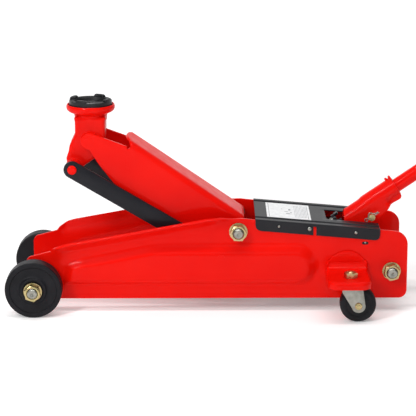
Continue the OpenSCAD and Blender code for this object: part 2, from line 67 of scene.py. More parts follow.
AXLE_X = middle("front_axle").x
SIDES = (("left", -1), ("right", 1))


def place(x, y, z):
    return Vector((AXLE_X + x * MM, y * MM, z * MM))


def local(point):
    """A point of the frame in mm from the front axle."""
    return Vector(((point[0] - AXLE_X) / MM, point[1] / MM, point[2] / MM))


def on_side(shape, sign):
    """A shape made for the side with positive y, mirrored when sign is negative."""
    verts, faces = shape
    if sign > 0:
        return shape
    return [(x, -y, z) for x, y, z in verts], [tuple(reversed(f)) for f in faces]


# ---- design sizes, mm

PLATE_FRONT, PLATE_REAR = -12.3, 547.7
PLATE_Y, PLATE_T, PLATE_LOW = 61.0, 4.0, 19.7
PIVOT = Vector((299.3, 0, 121.4))
ARM_L, ARM_ANGLE = 252.7, math.radians(30.85)
ARM_Y, ARM_T = 36.0, 4.0
LINK_DROP = Vector((-25.1, 0, -38.9))
LINK_Y, LINK_T, LINK_W = 46.0, 5.0, 25.0
CROSS_BOLT = Vector((524.7, 0, 61.2))
HANDLE_ANGLE = math.radians(34.6)
SOCKET_PIVOT = Vector((497.2, 0, 133.8))
FOOT_OFFSET = 12.5
CUP = local(middle("saddle"))
CASTER_Y = 107.0


def arm_point(u, w, y=0.0):
    """u runs up the lift arm from its shaft, w stands square to it."""
    return Vector((PIVOT.x - u * math.cos(ARM_ANGLE) + w * math.sin(ARM_ANGLE), y,
                   PIVOT.z + u * math.sin(ARM_ANGLE) + w * math.cos(ARM_ANGLE)))


FOOT = SOCKET_PIVOT + Vector((-math.sin(HANDLE_ANGLE), 0, math.cos(HANDLE_ANGLE))) * FOOT_OFFSET


def handle_point(s, t, y=0.0):
    """s runs up the handle's axis from the foot above the socket's pivot, t stands square to it."""
    return Vector((FOOT.x + s * math.cos(HANDLE_ANGLE) - t * math.sin(HANDLE_ANGLE), y,
                   FOOT.z + s * math.sin(HANDLE_ANGLE) + t * math.cos(HANDLE_ANGLE)))


def smooth(t):
    t = min(max(t, 0.0), 1.0)
    return t * t * (3 - 2 * t)


def between(a, b, t):
    return a + (b - a) * t


def along(points, x):
    """Height at x on a line through (x, height) points."""
    for (x0, z0), (x1, z1) in zip(points, points[1:]):
        if x <= x1:
            return between(z0, z1, (x - x0) / (x1 - x0))
    return points[-1][1]


def arc(cx, cy, r, a0, a1, n):
    """n + 1 points of an arc, angles in degrees."""
    angles = [math.radians(between(a0, a1, i / n)) for i in range(n + 1)]
    return [(cx + r * math.cos(a), cy + r * math.sin(a)) for a in angles]


# ---- materials

def shader(name, color, roughness, metallic=0.0, coat=0.0, coat_roughness=0.1, specular=0.5):
    mat = bpy.data.materials.new(name)
    mat.use_nodes = True
    bsdf = mat.node_tree.nodes["Principled BSDF"]
    bsdf.inputs["Base Color"].default_value = (*color, 1)
    bsdf.inputs["Roughness"].default_value = roughness
    bsdf.inputs["Metallic"].default_value = metallic
    bsdf.inputs["Coat Weight"].default_value = coat
    bsdf.inputs["Coat Roughness"].default_value = coat_roughness
    bsdf.inputs["Specular IOR Level"].default_value = specular
    return mat, mat.node_tree, bsdf


# Noise keeps mostly within these values.
NOISE_RANGE = (0.3, 0.7)


def add(tree, kind, **values):
    node = tree.nodes.new(kind)
    for key, value in values.items():
        if key in node.inputs:
            node.inputs[key].default_value = value
        else:
            setattr(node, key, value)
    return node


def noise(tree, scale, detail=3.0, stretch=(1, 1, 1)):
    """Noise in object space; stretch squeezes it along an axis to make brushed or drawn marks."""
    coords = tree.nodes.new("ShaderNodeTexCoord")
    mapping = tree.nodes.new("ShaderNodeMapping")
    mapping.inputs["Scale"].default_value = stretch
    texture = add(tree, "ShaderNodeTexNoise", Scale=scale, Detail=detail)
    tree.links.new(coords.outputs["Object"], mapping.inputs["Vector"])
    tree.links.new(mapping.outputs["Vector"], texture.inputs["Vector"])
    return texture


def ramp(tree, source, stops):
    """A colour ramp over source, with (position, (r, g, b)) stops."""
    node = tree.nodes.new("ShaderNodeValToRGB")
    tree.links.new(source, node.inputs["Fac"])
    elements = node.color_ramp.elements
    while len(elements) < len(stops):
        elements.new(0.5)
    for element, (position, color) in zip(elements, stops):
        element.position = position
        element.color = (*color, 1)
    return node


def vary_color(tree, bsdf, scale, stops):
    source = noise(tree, scale)
    tree.links.new(ramp(tree, source.outputs["Fac"], stops).outputs["Color"], bsdf.inputs["Base Color"])


def map_range(tree, source, target, from_range, to_range):
    """Maps source's (lowest, highest) onto a new pair and links it to target."""
    node = tree.nodes.new("ShaderNodeMapRange")
    for name, (low, high) in (("From", from_range), ("To", to_range)):
        node.inputs[f"{name} Min"].default_value = low
        node.inputs[f"{name} Max"].default_value = high
    tree.links.new(source, node.inputs["Value"])
    tree.links.new(node.outputs["Result"], target)


def vary_roughness(tree, bsdf, scale, low, high):
    source = noise(tree, scale, 4.0).outputs["Fac"]
    map_range(tree, source, bsdf.inputs["Roughness"], NOISE_RANGE, (low, high))


def bumps(tree, bsdf, layers):
    """Stacks bump nodes from (scale, detail, strength, distance) layers, with an optional stretch."""
    normal = None
    for scale, detail, strength, distance, *stretch in layers:
        bump = add(tree, "ShaderNodeBump", Strength=strength, Distance=distance)
        tree.links.new(noise(tree, scale, detail, *stretch).outputs["Fac"], bump.inputs["Height"])
        if normal is not None:
            tree.links.new(normal, bump.inputs["Normal"])
        normal = bump.outputs["Normal"]
    tree.links.new(normal, bsdf.inputs["Normal"])


MATERIALS = {}


def surface(name, base, roughness, patches=(), spread=(), grain=(), **finish):
    """A material with whichever of these it is given: patches of colour as (noise scale, stops), a spread of
    roughness as (noise scale, smoothest, roughest), and bump layers as (scale, detail, strength, metres)."""
    mat, tree, bsdf = shader(name, base, roughness, **finish)
    if patches:
        vary_color(tree, bsdf, *patches)
    if spread:
        vary_roughness(tree, bsdf, *spread)
    if grain:
        bumps(tree, bsdf, grain)
    MATERIALS[name] = mat


# Thick gloss enamel on pressed steel: faint orange peel and slow waves in the sheet
surface("red_paint", (0.76, 0.005, 0.002), 0.34,
        (9, [(0.3, (0.72, 0.003, 0.001)), (0.7, (0.80, 0.006, 0.002))]), (60, 0.28, 0.42),
        [(16, 1, 0.10, 0.0010), (650, 2, 0.06, 0.0002)],
        coat=0.13, coat_roughness=0.07, specular=0.03)
# The same enamel over a sand casting: a pebbled skin
surface("red_cast", (0.7, 0.005, 0.002), 0.38,
        (30, [(0.3, (0.68, 0.003, 0.001)), (0.7, (0.80, 0.006, 0.002))]), (90, 0.3, 0.46),
        [(140, 4, 0.35, 0.0006), (700, 2, 0.15, 0.0002)],
        coat=0.13, coat_roughness=0.12, specular=0.03)
# Moulded nylon: matte, with a fine grain over a coarser one
surface("black_nylon", (0.01, 0.01, 0.012), 0.48,
        (45, [(0.3, (0.007, 0.007, 0.009)), (0.7, (0.012, 0.012, 0.015))]), (120, 0.4, 0.58),
        [(90, 3, 0.12, 0.0006), (900, 3, 0.25, 0.00025)], specular=0.16)
# Satin enamel on flat bar
surface("black_paint", (0.012, 0.012, 0.015), 0.4,
        (20, [(0.3, (0.007, 0.007, 0.010)), (0.7, (0.012, 0.012, 0.016))]), (70, 0.34, 0.5),
        [(500, 3, 0.15, 0.0003)], coat=0.1, coat_roughness=0.2, specular=0.14)
# Powder coat on the cover, with an even, fine orange peel
surface("black_sheet", (0.012, 0.012, 0.015), 0.42,
        (15, [(0.3, (0.010, 0.010, 0.013)), (0.7, (0.015, 0.015, 0.018))]),
        grain=[(420, 2, 0.22, 0.0004)], coat=0.14, coat_roughness=0.28, specular=0.12)
surface("saddle_black", (0.008, 0.008, 0.009), 0.36,
        (60, [(0.3, (0.006, 0.006, 0.007)), (0.7, (0.012, 0.012, 0.014))]), (110, 0.3, 0.55),
        [(260, 4, 0.4, 0.0005)], specular=0.25)
# A blank film label with faint printing grain
surface("label_white", (0.8, 0.81, 0.82), 0.3,
        (160, [(0.3, (0.70, 0.71, 0.72)), (0.7, (0.86, 0.87, 0.88))]),
        grain=[(300, 2, 0.05, 0.0002)], coat=0.3, coat_roughness=0.1)
surface("label_grey", (0.25, 0.26, 0.28), 0.4,
        (200, [(0.3, (0.2, 0.21, 0.23)), (0.7, (0.32, 0.33, 0.35))]))
# Passivated zinc: brassy, with patches of the film's other tints
surface("yellow_zinc", (0.7, 0.6, 0.34), 0.3,
        (170, [(0.25, (0.34, 0.31, 0.15)), (0.45, (0.50, 0.42, 0.20)),
               (0.6, (0.52, 0.38, 0.21)), (0.8, (0.32, 0.25, 0.12))]), (260, 0.2, 0.42),
        [(700, 3, 0.2, 0.0002, (1, 1, 0.2))], metallic=1.0)
surface("bright_zinc", (0.66, 0.66, 0.65), 0.36,
        (120, [(0.3, (0.26, 0.26, 0.23)), (0.7, (0.38, 0.38, 0.34))]), (200, 0.28, 0.46),
        [(500, 4, 0.18, 0.0002, (1, 1, 0.12))], metallic=1.0)
surface("ram_chrome", (0.78, 0.79, 0.8), 0.12, spread=(300, 0.08, 0.18),
        grain=[(900, 2, 0.05, 0.0001)], metallic=1.0)
# Dark casting. On the pump block this dark colour is partly painted shade, for the dim inside seen through
# the cover's opening.
surface("unit_cast", (0.08, 0.08, 0.085), 0.5,
        (40, [(0.3, (0.06, 0.06, 0.064)), (0.7, (0.11, 0.11, 0.115))]),
        grain=[(220, 4, 0.4, 0.0005)], metallic=0.3)
surface("grip_rubber", (0.02, 0.02, 0.02), 0.62,
        (70, [(0.3, (0.015, 0.015, 0.015)), (0.7, (0.03, 0.03, 0.031))]),
        grain=[(600, 3, 0.35, 0.0003)])

# ---- mesh helpers


def add_piece(name, verts, faces, slot, body, stands_for=(), sharp=35, bevel=0.0, thickness=0.0,
              material=None):
    """Makes a piece from points in mm. thickness makes a sheet solid on the side away from its normals."""
    mesh = bpy.data.meshes.new(name)
    mesh.from_pydata([place(*v) for v in verts], [], faces)
    mesh.materials.append(MATERIALS[material or slot])
    piece = bpy.data.objects.new(name, mesh)
    bpy.context.scene.collection.objects.link(piece)
    if thickness:
        solid = piece.modifiers.new("thickness", "SOLIDIFY")
        solid.thickness = thickness * MM
        solid.offset = -1
    if bevel:
        edge = piece.modifiers.new("edges", "BEVEL")
        edge.width = bevel * MM
        edge.segments = 2
        edge.limit_method = "ANGLE"
        edge.angle_limit = math.radians(40)
    bake_modifiers(piece)
    for polygon in piece.data.polygons:
        polygon.use_smooth = True
    piece.data.set_sharp_from_angle(angle=math.radians(sharp))
    if body:
        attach(piece, body)
    if stands_for:
        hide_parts(*stands_for)
    return piece


def bake_modifiers(piece):
    if not piece.modifiers:
        return
    graph = bpy.context.evaluated_depsgraph_get()
    mesh = bpy.data.meshes.new_from_object(piece.evaluated_get(graph))
    piece.modifiers.clear()
    piece.data = mesh


def grid_faces(rows, columns, flip=False, wrap=False):
    """Quads of a grid whose point (i, j) has index i * columns + j."""
    faces = []
    for i in range(rows - 1):
        for j in range(columns if wrap else columns - 1):
            a, b = i * columns + j, i * columns + (j + 1) % columns
            c, d = b + columns, a + columns
            faces.append((a, d, c, b) if flip else (a, b, c, d))
    return faces


def joined(*parts):
    """Several (verts, faces) pairs as one."""
    verts, faces = [], []
    for part_verts, part_faces in parts:
        start = len(verts)
        verts += [tuple(v) for v in part_verts]
        faces += [tuple(i + start for i in f) for f in part_faces]
    return verts, faces


def lathe(profile, centre, axis, steps=72, turn=0.0, closed=False):
    """Turns (radius, distance along axis) points about a line through centre, and caps it unless closed."""
    axis = Vector(axis).normalized()
    side = axis.orthogonal().normalized()
    other = axis.cross(side)
    verts = []
    rings = list(profile) + ([profile[0]] if closed else [])
    for radius, height in rings:
        for k in range(steps):
            angle = turn + 2 * math.pi * k / steps
            offset = (side * math.cos(angle) + other * math.sin(angle)) * radius + axis * height
            verts.append(tuple(Vector(centre) + offset))
    faces = grid_faces(len(rings), steps, flip=True, wrap=True)
    if not closed:
        last = (len(rings) - 1) * steps
        faces += [tuple(reversed(range(steps))), tuple(range(last, last + steps))]
    return verts, faces


def rounded_profile(points, radii, steps=4):
    """Rounds the corners of an open (r, h) line. radii has one value per point, and 0 keeps it sharp."""
    result = [points[0]]
    for before, here, after, radius in zip(points, points[1:], points[2:], radii[1:-1]):
        a, b, c = Vector(before), Vector(here), Vector(after)
        reach = min(radius, (a - b).length * 0.49, (c - b).length * 0.49)
        if reach <= 0:
            result.append(here)
            continue
        start, end = b + (a - b).normalized() * reach, b + (c - b).normalized() * reach
        for k in range(steps + 1):
            t = k / steps
            result.append(tuple(start * (1 - t) ** 2 + b * 2 * t * (1 - t) + end * t ** 2))
    result.append(points[-1])
    return result


def both_ends(half):
    """A (radius, distance) profile from one end to the other, whose two halves mirror each other."""
    return [(r, -y) for r, y in half] + half[::-1]


def prism(outline, y0, y1):
    """A flat plate from an (x, z) outline, between two distances from the middle."""
    n = len(outline)
    verts = [(x, y0, z) for x, z in outline] + [(x, y1, z) for x, z in outline]
    area = sum(a[0] * b[1] - b[0] * a[1] for a, b in zip(outline, outline[1:] + outline[:1]))
    near, far = tuple(range(n)), tuple(reversed(range(n, 2 * n)))
    sides = [(i, i + n, (i + 1) % n + n, (i + 1) % n) for i in range(n)]
    if area < 0:
        near, far, sides = near[::-1], far[::-1], [s[::-1] for s in sides]
    return verts, [near, far] + sides


def tube(points, radius, steps=10):
    """A round bar swept along points."""
    points = [Vector(p) for p in points]
    verts = []
    side = None
    for i, point in enumerate(points):
        ahead = (points[min(i + 1, len(points) - 1)] - points[max(i - 1, 0)]).normalized()
        side = ahead.orthogonal() if side is None else side - ahead * side.dot(ahead)
        side.normalize()
        other = ahead.cross(side)
        for k in range(steps):
            angle = 2 * math.pi * k / steps
            verts.append(tuple(point + (side * math.cos(angle) + other * math.sin(angle)) * radius))
    faces = grid_faces(len(points), steps, flip=True, wrap=True)
    last = (len(points) - 1) * steps
    faces += [tuple(reversed(range(steps))), tuple(range(last, last + steps))]
    return verts, faces


# ---- side plates

PLATE_TOP = ((PLATE_FRONT, 83.4), (-2, 84.8), (21, 91), (293, 140.6), (304, 141), (316, 139.5), (530, 121),
             (PLATE_REAR, 119.4))
PANEL_OUT, PANEL_SLOPE, PANEL_SLOPE_LOW, PANEL_END = 8.0, 19.0, 9.5, (384, 72.5, 32.5)
LIP_FRONT, LIP_REAR, LIP_WIDTH, LIP_STAND, LIP_R, LIP_BEND = 25.0, 294.0, 30.0, 18.5, 28.0, math.radians(40)
PANEL = [(43, 40), (44, 58), (46, 74), (63, 82), (110, 92), (170, 105)] + arc(*PANEL_END, 90, -90, 16)


def corner_cut(distance, radius):
    """How far a rounded corner draws an edge in, at a distance from the plate's end."""
    if distance >= radius:
        return 0.0
    return radius - math.sqrt(max(radius ** 2 - (radius - distance) ** 2, 0))


def plate_edges(x):
    front, rear = x - PLATE_FRONT, PLATE_REAR - x
    low = PLATE_LOW + corner_cut(front, 3) + corner_cut(rear, 12)
    return low, along(PLATE_TOP, x) - corner_cut(front, 9) - corner_cut(rear, 18)


def panel_rise(x, z):
    """How far the pressed panel stands out at a point, from the distance to the panel's outline."""
    inside, nearest = False, 1e9
    for (x0, z0), (x1, z1) in zip(PANEL, PANEL[1:] + PANEL[:1]):
        if (z0 > z) != (z1 > z) and x < (x1 - x0) * (z - z0) / (z1 - z0) + x0:
            inside = not inside
        run = Vector((x1 - x0, z1 - z0))
        t = min(max(Vector((x - x0, z - z0)).dot(run) / run.length_squared, 0), 1)
        nearest = min(nearest, math.hypot(x - x0 - run.x * t, z - z0 - run.y * t))
    slope = between(PANEL_SLOPE_LOW, PANEL_SLOPE, smooth((z - 48) / 38))
    return PANEL_OUT * smooth(nearest / slope) if inside else 0.0


def lip_shape(x):
    """Width of the flared lip at x, and how much of its full bend it has."""
    front = min(max((x - LIP_FRONT) / 30, 0), 1)
    rear = min(max((LIP_REAR - x) / 42, 0), 1)
    width = min(math.sqrt(1 - (1 - front) ** 2), smooth(rear))
    bend = min(smooth((x - LIP_FRONT + 4) / 16), smooth((LIP_REAR - x) / 34))
    return between(LIP_STAND, LIP_WIDTH, width), bend


def plate_stations():
    ends = [i * 0.75 for i in range(24)]
    inner = [PLATE_FRONT + 18 + i * 4.4 for i in range(int((PLATE_REAR - PLATE_FRONT - 36) / 4.4) + 1)]
    return sorted([PLATE_FRONT + 0.01 + e for e in ends] + [PLATE_REAR - 0.01 - e for e in ends] + inner)


def side_plate_mesh():
    plate_rows, lip_rows = 34, 12
    stations = plate_stations()
    verts = []
    for x in stations:
        low, top = plate_edges(x)
        width, bend = lip_shape(x)
        start = top - LIP_STAND
        for j in range(plate_rows):
            z = between(low, start, j / (plate_rows - 1))
            verts.append((x, PLATE_Y + panel_rise(x, z), z))
        out, up, last = 0.0, 0.0, 0.0
        for j in range(1, lip_rows + 1):
            s = width * j / lip_rows
            angle = bend * min(between(last, s, 0.5) / LIP_R, LIP_BEND)
            out += (s - last) * math.sin(angle)
            up += (s - last) * math.cos(angle)
            last = s
            verts.append((x, PLATE_Y + out + panel_rise(x, start + up), start + up))
    return verts, grid_faces(len(stations), plate_rows + lip_rows)


def side_plates():
    shape = side_plate_mesh()
    for side, sign in SIDES:
        add_piece(f"pressed_side_plate_{side}", *on_side(shape, sign), "red_paint", "chassis",
                  [f"side_plate_{side}"], sharp=50, thickness=PLATE_T, bevel=0.7)


# ---- lift arm

FOLD_R, FOLD_END = 9.0, 196.6
# How far the fold's front edge runs past FOLD_END where its flat top starts, and the share added midway
FOLD_REACH, FOLD_BELLY = 5.0, 1.4
ARM_BELLY = ((-18.9, -54.9), (60, -54), (188.8, -36.5), (224.8, -22.2), (246.7, -10.4))


def arm_edges(u):
    """Lower and upper edge of a cheek at u; the upper one stops where the fold starts."""
    if u < -18.9:
        half = math.sqrt(max(14 ** 2 - (u + 18.9) ** 2, 0))
        low = -40.9 - half
    elif u < 246.7:
        low = along(ARM_BELLY, u)
    else:
        low = -math.sqrt(max(12 ** 2 - (u - ARM_L) ** 2, 0))
    if u < 0:
        high = between(-40.9, 9, math.sin(math.acos(max(min(-u / 32.9, 1), -1))))
    elif u <= FOLD_END:
        high = between(18.0, 31.2, u / FOLD_END) - FOLD_R
    elif u <= 254.8:
        notch = 3.2 * smooth(1.5 - abs(u - 199.4) / 1.6)
        high = along(((FOLD_END, 22.2), (FOLD_END + 2, 22.2), (254.8, 11.8)), u) - notch
    else:
        high = math.sqrt(max(12 ** 2 - (u - ARM_L) ** 2, 0))
    return low, max(high, low + 0.02)


def lift_arm():
    cheek_rows, fold_rows, top_rows = 12, 7, 5
    nose = [ARM_L + 12 * math.sin(math.radians(a)) - 0.01 for a in range(-30, 91, 6)]
    tail = [-32.9 * math.cos(math.radians(a)) + 0.01 for a in range(0, 90, 9)]
    body = [i * 8.0 for i in range(25)] + [FOLD_END]
    stations = tail + body + [197 + 0.8 * i for i in range(9)] + [206, 214, 222, 230, 238] + nose
    parts = []
    for sign in (-1, 1):
        cheek, fold = [], []
        fold_stations = 0
        for u in stations:
            low, high = arm_edges(u)
            for j in range(cheek_rows):
                cheek.append(arm_point(u, between(low, high, j / (cheek_rows - 1)), sign * ARM_Y))
            if 0 <= u <= FOLD_END:
                fold_stations += 1
                reach = FOLD_REACH * (u / FOLD_END) ** 12
                for k, (y, w) in enumerate(arc(ARM_Y - FOLD_R, high, FOLD_R, 0, 90, fold_rows)):
                    fold.append(arm_point(u + reach * smooth(k / fold_rows * 1.3), w, sign * y))
                for j in range(1, top_rows + 1):
                    belly = reach * (1 + FOLD_BELLY * (1 - (1 - j / top_rows) ** 2))
                    y = (ARM_Y - FOLD_R) * (1 - j / top_rows)
                    fold.append(arm_point(u + belly, high + FOLD_R, sign * y))
        parts.append((cheek, grid_faces(len(stations), cheek_rows, flip=sign < 0)))
        parts.append((fold, grid_faces(fold_stations, fold_rows + 1 + top_rows, flip=sign < 0)))
    verts, faces = joined(*parts)
    verts, faces = welded(verts, faces)
    add_piece("folded_lift_arm", verts, faces, "red_paint", "lift_arm", ["lift_arm"], sharp=50,
              thickness=ARM_T, bevel=0.8)


def welded(verts, faces, reach=0.05):
    """Joins points that lie on each other, so that sheets meet without a seam."""
    mesh = bmesh.new()
    made = [mesh.verts.new(v) for v in verts]
    mesh.verts.ensure_lookup_table()
    for face in faces:
        mesh.faces.new([made[i] for i in face])
    bmesh.ops.remove_doubles(mesh, verts=mesh.verts, dist=reach)
    bmesh.ops.recalc_face_normals(mesh, faces=mesh.faces)
    mesh.verts.index_update()
    result = [tuple(v.co) for v in mesh.verts], [tuple(v.index for v in f.verts) for f in mesh.faces]
    mesh.free()
    return result


# ---- wheels and hardware

def front_wheels():
    low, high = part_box("front_wheel_right")
    radius, centre_z = (high.z - low.z) / 2 / MM - 0.02, middle("front_wheel_right").z / MM
    inner, face = 69.6, 93.6
    profile = [(7.3, inner), (30, inner), (radius - 5, inner), (radius, inner), (radius, inner + 5),
               (radius, face - 5), (radius, face), (radius - 7, face), (34, face - 1.6), (21, face - 1.6),
               (18.5, face + 3), (14.8, face + 3), (13.5, face + 1.2), (7.3, face + 1.2)]
    radii = [0, 2, 3, 4, 4, 4, 5, 2, 2, 3, 1, 0.8, 0.5, 0]
    for side, sign in SIDES:
        shape = lathe(rounded_profile(profile, radii), (0, 0, centre_z), (0, sign, 0), closed=True)
        add_piece(f"moulded_front_wheel_{side}", *shape, "black_nylon", f"front_wheel_{side}",
                  [f"front_wheel_{side}"], sharp=40)


def hex_nut(af, bore, height, centre, axis, turn=0.0):
    """A nut with its corners turned down to a cone at both faces."""
    axis = Vector(axis).normalized()
    side = Vector((1, 0, 0)) if abs(axis.x) < 0.9 else Vector((0, 1, 0))
    other = axis.cross(side)
    per_side, flat = 8, af / 2
    rings = []
    for level, inset in ((0, 1), (0, 0), (1, 0), (1, 1)):
        ring = []
        for k in range(6 * per_side):
            angle = 2 * math.pi * k / (6 * per_side)
            reach = flat / math.cos((angle + math.pi / 6) % (math.pi / 3) - math.pi / 6)
            drop = 0.0
            if not inset:
                drop = max(reach - flat, 0) * math.tan(math.radians(28)) + 0.25
            radius = flat * 0.955 if inset else reach
            along_axis = between(drop, height - drop, level)
            direction = side * math.cos(angle + turn) + other * math.sin(angle + turn)
            ring.append(tuple(Vector(centre) + direction * radius + axis * along_axis))
        rings.append(ring)
    for level, radius, sink in ((1, bore + 1.1, 0), (1, bore, 1.1), (0, bore, 1.1), (0, bore + 1.1, 0)):
        ring = []
        for k in range(6 * per_side):
            angle = 2 * math.pi * k / (6 * per_side) + turn
            direction = side * math.cos(angle) + other * math.sin(angle)
            along_axis = between(sink, height - sink, level)
            ring.append(tuple(Vector(centre) + direction * radius + axis * along_axis))
        rings.append(ring)
    rings.append(rings[0])
    verts = [v for ring in rings for v in ring]
    return verts, grid_faces(len(rings), 6 * per_side, flip=True, wrap=True)


def washer(inner, outer, height, centre, axis):
    profile = rounded_profile([(inner, 0), (outer, 0), (outer, height), (inner, height), (inner, 0)],
                              [0, 0.5, 0.5, 0.3, 0], 2)
    return lathe(profile, centre, axis, 48)


def threaded_end(radius, start, end, centre, axis, pitch=1.8):
    """The end of a bolt: turned grooves for the thread and a chamfer."""
    profile = [(radius - 1.1, start)]
    position = start
    while position + pitch < end - 1.4:
        profile += [(radius, position + pitch * 0.35), (radius, position + pitch * 0.6),
                    (radius - 0.9, position + pitch)]
        position += pitch
    profile += [(radius, end - 1.4), (radius - 1.4, end), (0.01, end)]
    return lathe(profile, centre, axis, 40)


def threaded_stud(radius, thread_start, end, centre, pitch=1.8):
    """A plain shaft whose two ends carry thread grooves, a chamfer and a centre mark."""
    half = [(0.01, end - 1.6), (1.6, end - 0.6), (2.6, end - 0.1), (radius - 1.5, end), (radius, end - 1.5)]
    position = end - 1.8
    while position - pitch > thread_start:
        half += [(radius, position - pitch * 0.3), (radius - 0.8, position - pitch * 0.65),
                 (radius, position - pitch)]
        position -= pitch
    half.append((radius, thread_start - 1))
    profile = half + [(r, -along_y) for r, along_y in reversed(half)]
    return lathe(profile, centre, (0, -1, 0), 40)


def shaft_hardware():
    """Nuts, washers and threaded studs of the front axle, the arm's shaft and the rear cross bolt."""
    axle_z = middle("front_axle").z / MM
    sets = (("axle", "front_axle", Vector((0, 0, axle_z)), 7.25, 97.0, 112.0,
             ["front_axle_nuts", "front_axle_washers"]),
            ("pivot", "lift_arm_shaft", PIVOT, 7.5, 61.0, 77.0, ["lift_arm_shaft_nuts"]),
            ("cross_bolt", "rear_cross_bolt", CROSS_BOLT, 7.5, 61.0, 77.0, ["rear_cross_bolt_nuts"]))
    for index, (name, shaft, centre, radius, face, end, nodes) in enumerate(sets):
        nuts, washers = [], []
        for _, sign in SIDES:
            axis = (0, sign, 0)
            start = centre + Vector((0, sign * (face + 2), 0))
            nuts.append(hex_nut(21.8, radius + 0.1, 11, start, axis, turn=0.2 + index * 0.3))
            washers.append(washer(radius + 0.2, 13.5, 1.9, centre + Vector((0, sign * face, 0)), axis))
        stud = threaded_stud(radius, face + 12, end, centre)
        add_piece(f"{name}_stud", *stud, "bright_zinc", "chassis", [shaft], sharp=30)
        add_piece(f"{name}_hex_nuts", *joined(*nuts), "yellow_zinc", "chassis", nodes, sharp=25)
        add_piece(f"{name}_flat_washers", *joined(*washers), "yellow_zinc", "chassis", sharp=25)


# ---- links and saddle

def stadium(start, end, radius, steps=14):
    """Outline round two (x, z) centres."""
    heading = math.degrees(math.atan2(end[1] - start[1], end[0] - start[0]))
    return (arc(end[0], end[1], radius, heading - 90, heading + 90, steps)
            + arc(start[0], start[1], radius, heading + 90, heading + 270, steps))


def link_bars():
    low, high = PIVOT + LINK_DROP, arm_point(ARM_L, 0) + LINK_DROP
    outline = stadium((low.x, low.z), (high.x, high.z), LINK_W / 2)
    bar = prism(outline, LINK_Y, LINK_Y + LINK_T)
    for side, sign in SIDES:
        add_piece(f"flat_link_bar_{side}", *on_side(bar, sign), "black_paint", "link_bars",
                  [f"link_bar_{side}"], sharp=30, bevel=0.8)


def link_pin_heads():
    """Peened heads of the pin that holds the bars to the saddle's bracket, and the bar between them."""
    centre = arm_point(ARM_L, 0) + LINK_DROP
    low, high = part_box("saddle_link_pin")
    reach = (high.y - low.y) / 2 / MM
    half = [(0.01, reach), (4, reach), (6, reach - 0.6), (6.7, reach - 1.6), (6.7, reach - 2.6),
            (6, reach - 2.6)]
    add_piece("peened_link_pin", *lathe(both_ends(half), centre, (0, 1, 0), 40), "red_paint",
              "saddle_bracket", ["saddle_link_pin"], sharp=45)


def saddle_bracket():
    """Sand-cast fork: a column under a round cup, with a lobe for the link pin."""
    link, pin = arm_point(ARM_L, 0) + LINK_DROP, arm_point(ARM_L, 0)
    half, boss = 24.0, 31.2
    outline = arc(link.x, link.z, 11, 150, 330, 12)
    outline += [(pin.x + 6, pin.z - 29), (pin.x + 14, pin.z - 14)]
    outline += [(CUP.x + x, pin.z + z) for x, z in (
        (21.5, 1), (22, 27), (24.5, 34), (-24.5, 34), (-22.5, 27), (-22.5, 8), (-31, -9.5), (-32.5, -18),
        (-36, -28))]
    cup = [(0.01, 26), (23.6, 26), (24, 33), (25.4, 36), (28.6, 37.4), (32.2, 38.8), (34.8, 41.4),
           (35.8, 44.4), (35.6, 47.4), (34.6, 49.4), (33.6, 50), (32.8, 49.4), (32.4, 45.5), (0.01, 45.5)]
    bowl = lathe([(r, h + pin.z) for r, h in cup], (CUP.x, 0, 0), (0, 0, 1), 72)
    bosses = [lathe([(0.01, -boss), (r, -boss), (r, boss), (0.01, boss)], centre, (0, 1, 0), 48)
              for centre, r in ((pin, 12), (link, 11))]
    column = add_piece("cast_saddle_bracket", *prism(outline, -half, half), "red_cast", "saddle_bracket",
                       ["saddle_bracket"], bevel=4.0, sharp=60)
    fuse(column, joined(bowl, *bosses), 1.0, 6)


def fuse(piece, shape, voxel, smoothing):
    """Joins a second solid to a piece as one casting with softened inside corners."""
    mesh = bmesh.new()
    mesh.from_mesh(piece.data)
    made = [mesh.verts.new(place(*v)) for v in shape[0]]
    for face in shape[1]:
        mesh.faces.new([made[i] for i in face])
    mesh.to_mesh(piece.data)
    mesh.free()
    remesh = piece.modifiers.new("skin", "REMESH")
    remesh.mode = "VOXEL"
    remesh.voxel_size = voxel * MM
    soften = piece.modifiers.new("soft", "SMOOTH")
    soften.iterations = smoothing
    soften.factor = 0.5
    bake_modifiers(piece)
    for polygon in piece.data.polygons:
        polygon.use_smooth = True


LUG_START, LUG_WIDTH, LUG_TOP = 48, 34, 309.8
SADDLE_RING, SADDLE_FLOOR = 306.3, 301.8


def saddle():
    """Turned and cast pad with a ribbed dish and four rounded lugs."""
    floor, ring = SADDLE_FLOOR, SADDLE_RING
    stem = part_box("saddle")[0].z / MM
    profile = [(0.01, stem), (10, stem), (10, floor - 5.1), (30.8, floor - 5.1), (31.4, floor - 4.5),
               (31.4, ring - 0.9), (30.6, ring), (25.8, ring), (25, ring - 0.6), (23.6, floor + 0.1),
               (19, floor), (18.6, floor + 0.7), (16.4, floor + 0.7), (16, floor), (8, floor),
               (7.6, floor + 0.7), (5.4, floor + 0.7), (5, floor), (0.01, floor)]
    parts = [lathe(profile, (CUP.x, 0, 0), (0, 0, 1), 72)]
    section = [(25.2, ring - 1), (24.9, LUG_TOP - 2.2), (25.8, LUG_TOP - 0.6), (27, LUG_TOP),
               (29.4, LUG_TOP), (30.8, LUG_TOP - 0.7), (31.4, LUG_TOP - 2.4), (31.4, ring - 1)]
    for quarter in range(4):
        parts.append(lug(section, LUG_START + 90 * quarter, ring))
    parts.append(lathe(cross_rib_profile(floor), (CUP.x, 0, 0), (0, 0, 1), 4, turn=math.radians(45)))
    add_piece("cast_saddle", *joined(*parts), "saddle_black", "saddle", ["saddle"], sharp=40)


def cross_rib_profile(floor):
    return [(0.01, floor - 0.5), (3.4, floor - 0.5), (3.4, floor + 0.9), (0.01, floor + 0.9)]


